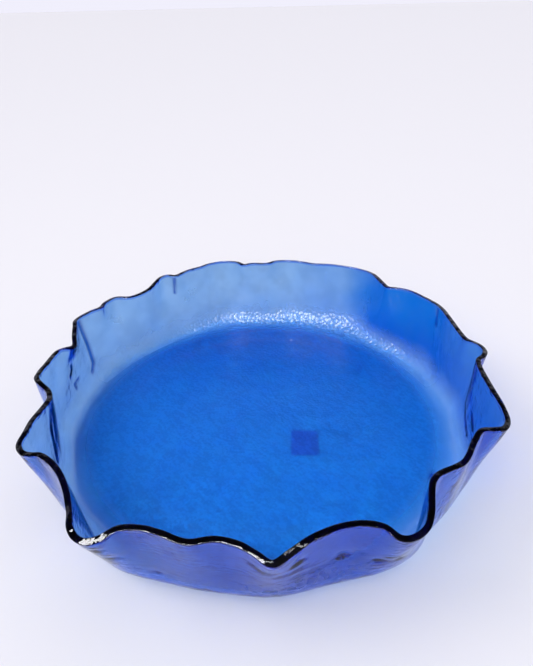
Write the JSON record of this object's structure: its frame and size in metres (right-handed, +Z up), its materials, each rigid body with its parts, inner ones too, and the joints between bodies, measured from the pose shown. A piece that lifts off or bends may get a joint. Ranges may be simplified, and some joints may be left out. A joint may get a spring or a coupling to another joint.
{
  "type": "ruffled art glass bowl",
  "caption": "Wide, shallow bowl of slumped blue glass: a flat textured floor, a steep wall folded into uneven ruffles and a rounded dark edge.",
  "frame": {"origin": "middle of the bowl's outline as seen from above, on the plane that it stands on", "axes": "+Z up out of the bowl, -Y towards the front, where the blunt centre lobe of the rim is, +X to the right of it"},
  "size_m": [0.4536, 0.4839, 0.0932],
  "materials": {
    "blue_glass": "clear cobalt blue, fire-polished, with a pebbled floor",
    "label_paper": "plain mauve paper label with a matt film"
  },
  "bodies": {
    "root": {"glass_bowl": "blue_glass", "label": "label_paper"}
  },
  "joints": []
}
